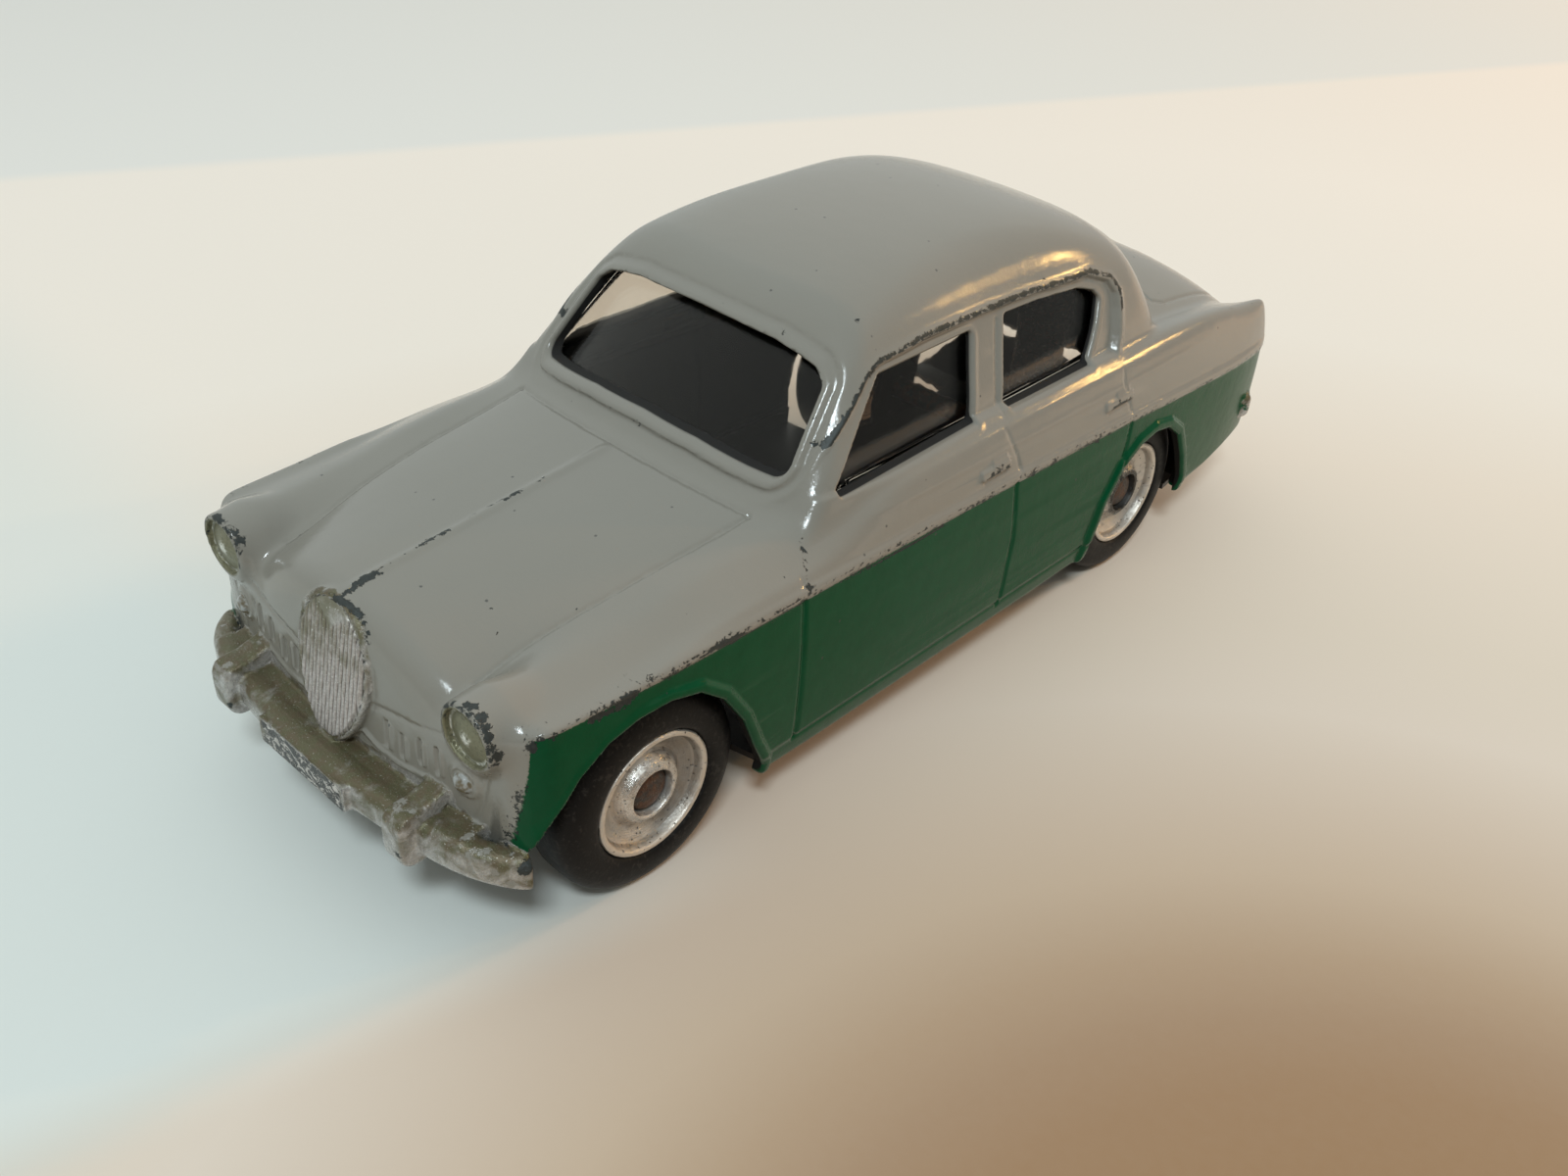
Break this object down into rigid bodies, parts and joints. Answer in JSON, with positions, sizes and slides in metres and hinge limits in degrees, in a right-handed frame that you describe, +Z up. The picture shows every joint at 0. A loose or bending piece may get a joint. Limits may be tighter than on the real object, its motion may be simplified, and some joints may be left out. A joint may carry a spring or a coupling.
{
  "type": "diecast collector car",
  "caption": "Small-scale diecast saloon car with a two-tone one-piece metal body, tinplate base, clear glazing and free-rolling wheels on headed axles.",
  "frame": {"origin": "centre of the bounding box along and across the car, on the plane the tyres stand on", "axes": "+Y towards the tail (the front faces -Y), +X towards the car's left side, +Z up"},
  "size_m": [0.0352, 0.092, 0.0329],
  "materials": {
    "painted_casting": "gloss enamel, grey above the side moulding and green below it, chipped on the raised edges",
    "black_tinplate": "satin black enamel on pressed tinplate",
    "clear_moulding": "clear polished moulding with faint scratches",
    "axle_steel": "dull steel with rust on the headed ends",
    "spun_aluminium": "turned, tarnished and pitted",
    "black_rubber": "smooth treaded-flat black rubber"
  },
  "bodies": {
    "body": {"body_shell": "painted_casting", "baseplate": "black_tinplate", "glazing": "clear_moulding"},
    "axle_front": {"front_axle": "axle_steel"},
    "axle_rear": {"rear_axle": "axle_steel"},
    "wheel_front_left": {"hub_front_left": "spun_aluminium", "tyre_front_left": "black_rubber"},
    "wheel_front_right": {"hub_front_right": "spun_aluminium", "tyre_front_right": "black_rubber"},
    "wheel_rear_left": {"hub_rear_left": "spun_aluminium", "tyre_rear_left": "black_rubber"},
    "wheel_rear_right": {"hub_rear_right": "spun_aluminium", "tyre_rear_right": "black_rubber"}
  },
  "joints": [
    {"name": "front_axle_spin", "type": "hinge", "parent": "body", "child": "axle_front", "pos_m": [0, -0.03118, 0.0074], "axis": [1, 0, 0], "continuous": true},
    {"name": "rear_axle_spin", "type": "hinge", "parent": "body", "child": "axle_rear", "pos_m": [0, 0.02338, 0.0074], "axis": [1, 0, 0], "continuous": true},
    {"name": "wheel_spin_front_left", "type": "hinge", "parent": "axle_front", "child": "wheel_front_left", "pos_m": [0.0143, -0.03118, 0.0074], "axis": [1, 0, 0], "continuous": true},
    {"name": "wheel_spin_front_right", "type": "hinge", "parent": "axle_front", "child": "wheel_front_right", "pos_m": [-0.0143, -0.03118, 0.0074], "axis": [1, 0, 0], "continuous": true},
    {"name": "wheel_spin_rear_left", "type": "hinge", "parent": "axle_rear", "child": "wheel_rear_left", "pos_m": [0.0143, 0.02338, 0.0074], "axis": [1, 0, 0], "continuous": true},
    {"name": "wheel_spin_rear_right", "type": "hinge", "parent": "axle_rear", "child": "wheel_rear_right", "pos_m": [-0.0143, 0.02338, 0.0074], "axis": [1, 0, 0], "continuous": true}
  ]
}
